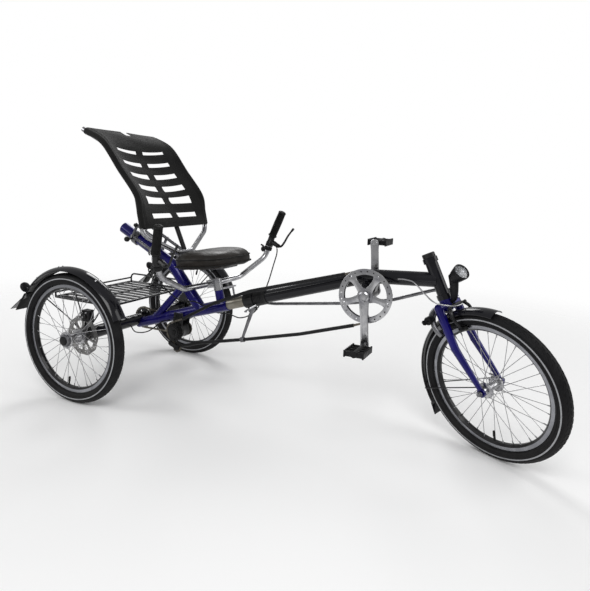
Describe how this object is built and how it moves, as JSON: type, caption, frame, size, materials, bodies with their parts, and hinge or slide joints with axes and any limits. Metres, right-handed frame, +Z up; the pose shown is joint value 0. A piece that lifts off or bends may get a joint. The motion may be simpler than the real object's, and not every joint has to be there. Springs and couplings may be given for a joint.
{
  "type": "recumbent delta trike",
  "caption": "Recumbent trike with two rear wheels, a steered front wheel, under-seat steering, a mesh backrest and cranks on a long boom.",
  "frame": {"origin": "middle of the bounding box on the ground, below the main tube", "axes": "+X forward along the boom, +Y to the rider's left, +Z up"},
  "size_m": [2.0029, 0.8256, 1.0539],
  "materials": {
    "blue_paint": "gloss",
    "black_paint": "gloss",
    "silver": "satin",
    "steel": "satin",
    "black_metal": "satin",
    "chain_steel": "satin",
    "tyre": "matte",
    "rubber": "matte",
    "black_plastic": "matte",
    "guard_plastic": "gloss",
    "lamp_red": "gloss",
    "leather": "satin",
    "sling_fabric": "matte"
  },
  "bodies": {
    "frame": {"main_tube": "blue_paint", "seat_tube": "blue_paint", "frame_brace": "blue_paint", "rear_axle": "black_paint", "boom_inner": "silver", "boom_clamp": "black_metal", "boom": "black_paint", "chain_tubes": "black_plastic", "chain_strut": "steel", "drive_chain": "chain_steel", "mid_drive": "black_metal", "derailleur": "black_metal", "mudguard_right": "guard_plastic", "mudguard_left": "guard_plastic", "tail_lamps": "lamp_red", "rack": "black_paint", "rear_brakes": "black_metal", "frame_cables": "rubber", "cable_left": "rubber", "cable_right": "rubber", "cable_front": "rubber"},
    "handlebar": {"handlebar": "silver", "grips": "rubber", "brake_levers": "silver", "shifters": "black_plastic"},
    "steering_rod": {"steering_rod": "steel"},
    "fork": {"fork": "blue_paint", "front_mudguard": "guard_plastic", "headlight": "black_plastic", "ring_lock": "black_metal", "front_brake": "silver"},
    "front_wheel": {"front_tyre": "tyre", "front_rim": "silver", "front_spokes": "steel", "front_hub": "silver"},
    "rear_wheel_right": {"right_tyre": "tyre", "right_rim": "silver", "right_spokes": "steel", "right_hub": "black_metal"},
    "rear_wheel_left": {"left_tyre": "tyre", "left_rim": "silver", "left_spokes": "steel", "left_hub": "black_metal"},
    "cranks": {"chainring": "silver", "crank_arms": "silver"},
    "pedal_right": {"pedal_right": "black_plastic"},
    "pedal_left": {"pedal_left": "black_plastic"},
    "seat": {"seat_cushion": "leather", "seat_carrier": "black_metal", "backrest_frame": "silver", "backrest_sling": "sling_fabric"}
  },
  "joints": [
    {"name": "fork_steer", "type": "hinge", "parent": "frame", "child": "fork", "pos_m": [0.73789, 0, 0.23097], "axis": [-0.4289, 0, 0.9033], "range_deg": [-5, 65], "deforming": ["cable_front"]},
    {"name": "handlebar_turn", "type": "hinge", "parent": "frame", "child": "handlebar", "pos_m": [-0.26546, 0, 0.42], "axis": [-0.225, 0, 0.9744], "range_deg": [-2.67, 34.65], "deforming": ["cable_left", "cable_right"]},
    {"name": "rod_pivot", "type": "hinge", "parent": "fork", "child": "steering_rod", "pos_m": [0.61924, 0.03897, 0.5333], "axis": [-0.4343, -0.0096, 0.9007], "range_deg": [-64.82, 4.99]},
    {"name": "front_wheel_spin", "type": "hinge", "parent": "fork", "child": "front_wheel", "pos_m": [0.77309, -0.0225, 0.24768], "axis": [0.4517, 0.866, 0.2145], "continuous": true},
    {"name": "right_wheel_spin", "type": "hinge", "parent": "frame", "child": "rear_wheel_right", "pos_m": [-0.68546, -0.37275, 0.253], "axis": [0, 1, 0], "continuous": true},
    {"name": "left_wheel_spin", "type": "hinge", "parent": "frame", "child": "rear_wheel_left", "pos_m": [-0.68546, 0.37275, 0.253], "axis": [0, 1, 0], "continuous": true},
    {"name": "crank_spin", "type": "hinge", "parent": "frame", "child": "cranks", "pos_m": [0.35454, 0, 0.4943], "axis": [0, 1, 0], "continuous": true},
    {"name": "right_pedal_spin", "type": "hinge", "parent": "cranks", "child": "pedal_right", "pos_m": [0.36847, -0.1, 0.32487], "axis": [0, 1, 0], "continuous": true},
    {"name": "left_pedal_spin", "type": "hinge", "parent": "cranks", "child": "pedal_left", "pos_m": [0.34061, 0.1, 0.66373], "axis": [0, 1, 0], "continuous": true},
    {"name": "seat_slide", "type": "slide", "parent": "frame", "child": "seat", "axis": [0.8875, 0, -0.4607], "range_m": [-0.06, 0.06]}
  ],
  "couplings": [
    {"joint": "handlebar_turn", "follows": "fork_steer", "ratio": 0.533},
    {"joint": "rod_pivot", "follows": "fork_steer", "ratio": -0.9973}
  ]
}
